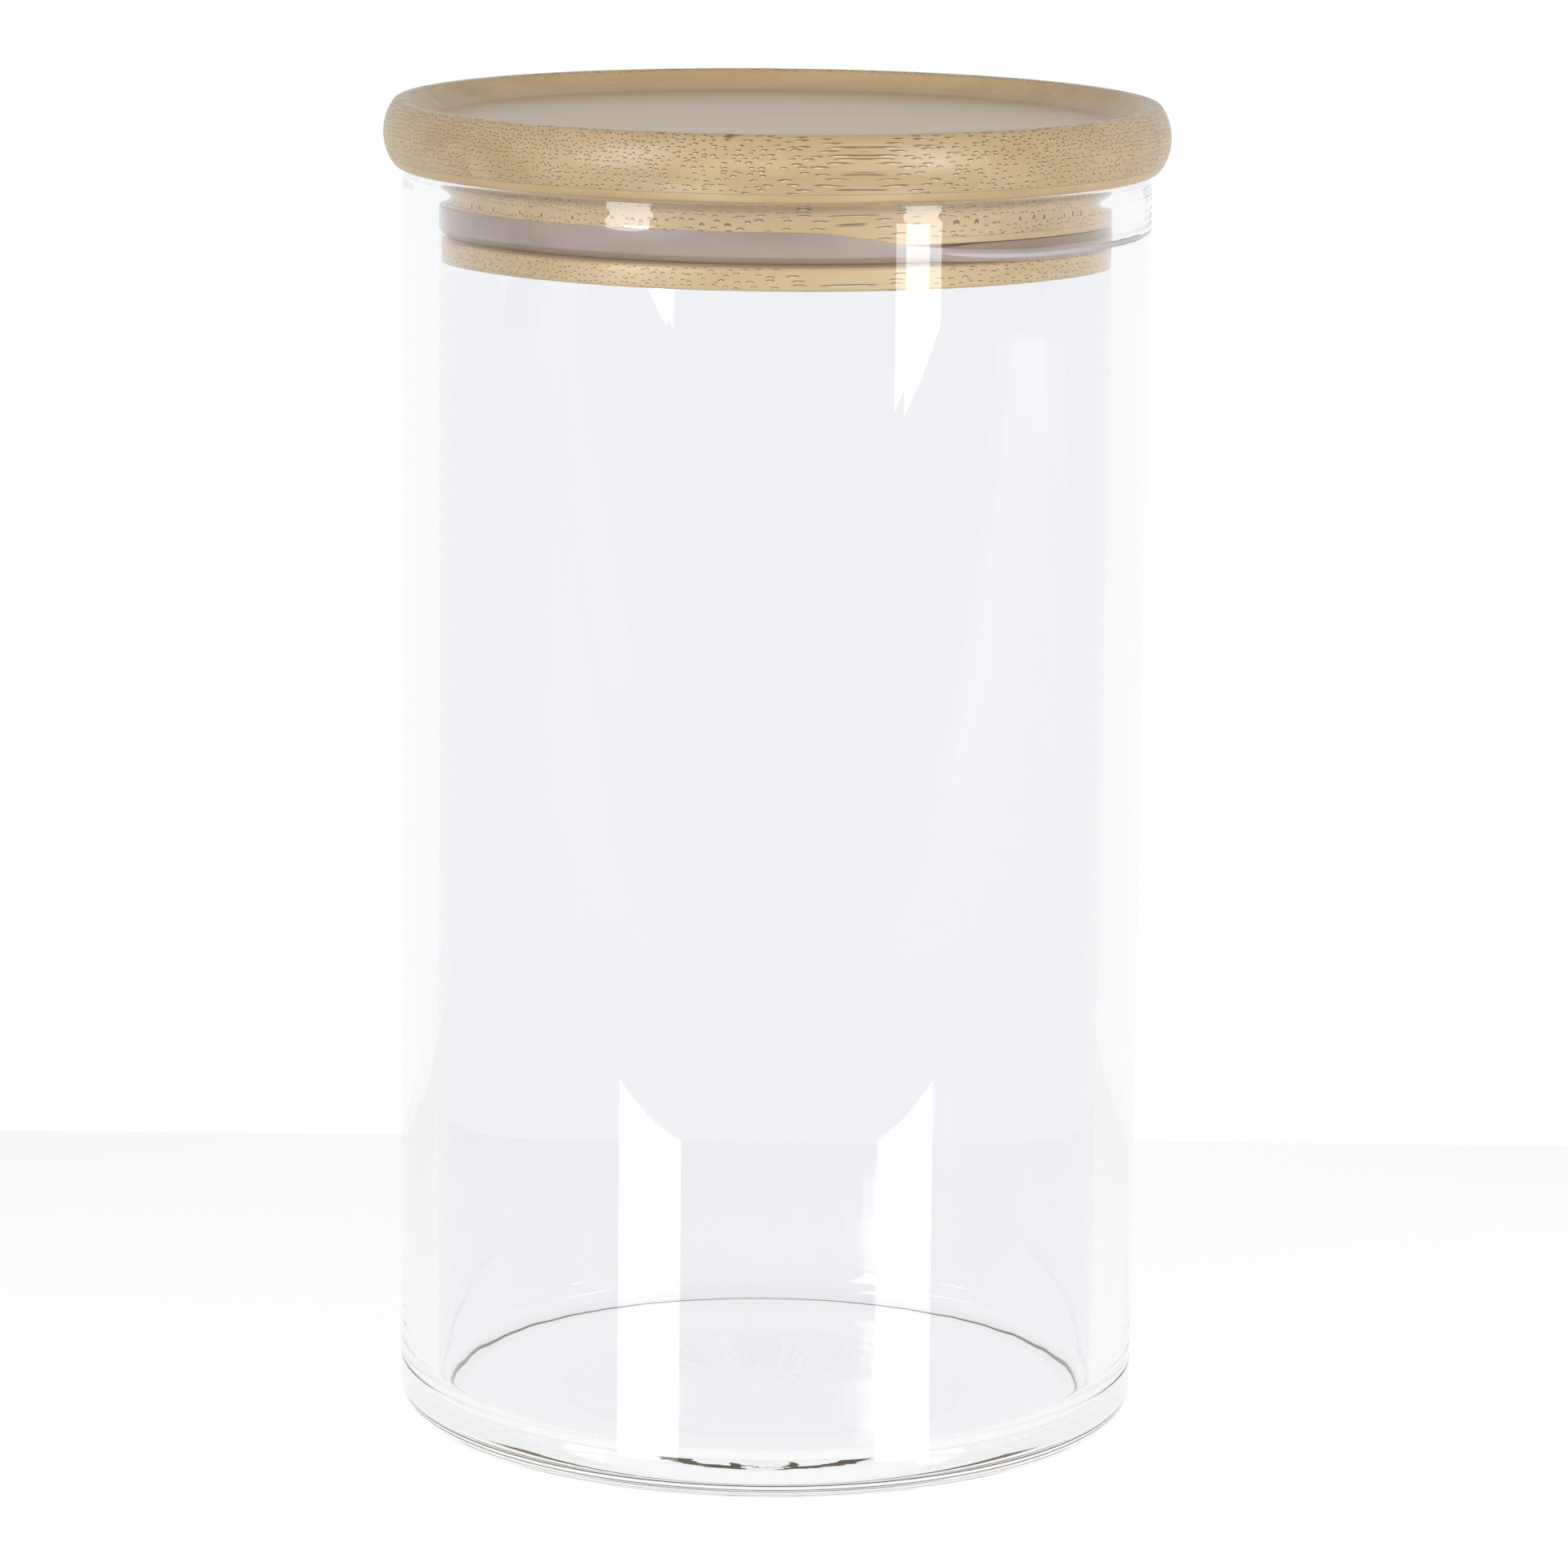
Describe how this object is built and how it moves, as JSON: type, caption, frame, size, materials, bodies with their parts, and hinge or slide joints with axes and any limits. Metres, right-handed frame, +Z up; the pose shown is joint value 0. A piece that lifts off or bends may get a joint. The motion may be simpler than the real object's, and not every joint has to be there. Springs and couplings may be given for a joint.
{
  "type": "lidded glass canister",
  "caption": "Straight-sided glass storage canister closed by a turned bamboo plug lid with a sunk top panel and a silicone lip seal; the lid lifts off and turns freely.",
  "frame": {"origin": "centre of the jar's foot, on the surface that the canister stands on", "axes": "+Z up along the jar's axis, out of its mouth; -Y towards the viewer of the picture"},
  "size_m": [0.1048, 0.1048, 0.1792],
  "materials": {
    "glass": "clear polished",
    "silicone": "milky satin",
    "bamboo": "satin lacquer"
  },
  "bodies": {
    "jar": {"glass_jar": "glass"},
    "seal": {"silicone_seal": "silicone"},
    "lid": {"cap_strip_1": "bamboo", "cap_strip_2": "bamboo", "cap_strip_3": "bamboo", "cap_strip_4": "bamboo", "cap_strip_5": "bamboo", "cap_strip_6": "bamboo", "plug_strip_1": "bamboo", "plug_strip_2": "bamboo", "plug_strip_3": "bamboo", "plug_strip_4": "bamboo"}
  },
  "joints": [
    {"name": "lid_lift", "type": "slide", "parent": "jar", "child": "seal", "axis": [0, 0, 1], "range_m": [0, 0.12]},
    {"name": "lid_turn", "type": "hinge", "parent": "seal", "child": "lid", "pos_m": [0, 0, 0.1638], "axis": [0, 0, 1], "continuous": true}
  ]
}
